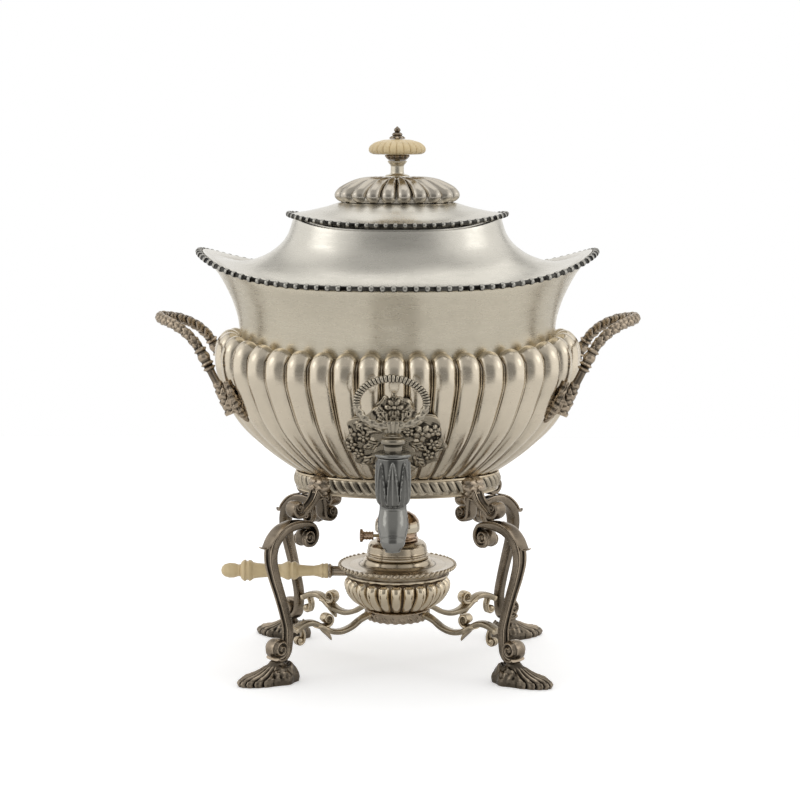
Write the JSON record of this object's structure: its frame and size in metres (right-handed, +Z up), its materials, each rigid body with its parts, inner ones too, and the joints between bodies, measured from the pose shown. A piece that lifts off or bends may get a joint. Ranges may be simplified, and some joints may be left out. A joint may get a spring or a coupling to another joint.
{
  "type": "tea kettle",
  "caption": "Oval lobed silver tea kettle with lid, loop handles and tap, on a scroll-legged stand with a spirit burner.",
  "frame": {"origin": "bottom centre of the bounding box, on the surface that the feet stand on", "axes": "+Z up, the tap faces -Y, the urn's long way is X and the burner's handle points to -X"},
  "size_m": [0.3598, 0.2548, 0.4],
  "materials": {
    "polished_silver": "gloss",
    "lobed_silver": "gloss",
    "cast_silver": "satin",
    "dark_beading": "satin",
    "tap_metal": "gloss",
    "worn_copper": "gloss",
    "brass": "satin",
    "ivory": "satin",
    "cotton": "matte"
  },
  "bodies": {
    "stand": {"leg_front_right": "cast_silver", "foot_front_right": "cast_silver", "bracket_front_right": "cast_silver", "stretcher_front_right": "cast_silver", "leg_back_right": "cast_silver", "foot_back_right": "cast_silver", "bracket_back_right": "cast_silver", "stretcher_back_right": "cast_silver", "leg_front_left": "cast_silver", "foot_front_left": "cast_silver", "bracket_front_left": "cast_silver", "stretcher_front_left": "cast_silver", "leg_back_left": "cast_silver", "foot_back_left": "cast_silver", "bracket_back_left": "cast_silver", "stretcher_back_left": "cast_silver", "stand_ring": "polished_silver", "gadroon_border": "dark_beading", "burner_ring": "cast_silver"},
    "urn": {"urn_bowl": "lobed_silver", "urn_neck": "polished_silver", "urn_shoulder": "polished_silver", "rim_beading": "dark_beading", "handle_right": "cast_silver", "handle_left": "cast_silver", "tap_escutcheon": "cast_silver", "tap_shank": "tap_metal", "tap_body": "tap_metal", "tap_cap": "tap_metal"},
    "key": {"tap_plug": "tap_metal", "tap_key": "cast_silver"},
    "lid": {"lid_cover": "polished_silver", "lid_beading": "dark_beading", "lid_bezel": "polished_silver", "lid_dome": "lobed_silver", "knob_stem": "polished_silver", "knob_collar": "cast_silver", "knob_disc": "ivory", "knob_finial": "dark_beading", "knob_bolt": "brass"},
    "burner": {"burner_bowl": "lobed_silver", "burner_tray": "polished_silver", "burner_drum": "polished_silver", "burner_neck": "worn_copper", "wick_tube": "brass", "hinge_lug": "worn_copper", "hinge_pin": "brass", "handle_tang": "cast_silver", "handle_grip": "ivory"},
    "wick": {"wick": "cotton"},
    "wick_winder": {"wick_spindle": "brass", "wick_knob": "worn_copper"},
    "snuffer": {"snuffer_cap": "worn_copper"}
  },
  "joints": [
    {"name": "urn_lift", "type": "slide", "parent": "stand", "child": "urn", "axis": [0, 0, 1], "range_m": [0, 0.08]},
    {"name": "lid_lift", "type": "slide", "parent": "urn", "child": "lid", "axis": [0, 0, 1], "range_m": [0, 0.1]},
    {"name": "tap_turn", "type": "hinge", "parent": "urn", "child": "key", "pos_m": [0, -0.11015, 0.165], "axis": [0, 0, 1], "continuous": true},
    {"name": "burner_lift", "type": "slide", "parent": "stand", "child": "burner", "axis": [0, 0, 1], "range_m": [0, 0.008]},
    {"name": "snuffer_hinge", "type": "hinge", "parent": "burner", "child": "snuffer", "pos_m": [0, 0.03785, 0.095], "axis": [-1, 0, 0], "range_deg": [0, 110]},
    {"name": "wick_turn", "type": "hinge", "parent": "burner", "child": "wick_winder", "pos_m": [-0.01, 0.01015, 0.0965], "axis": [1, 0, 0], "range_deg": [-90, 130]},
    {"name": "wick_rise", "type": "slide", "parent": "burner", "child": "wick", "axis": [0, 0, 1], "range_m": [-0.004, 0.0057]}
  ],
  "couplings": [
    {"joint": "wick_turn", "follows": "wick_rise", "rad_per_m": 384.62}
  ]
}
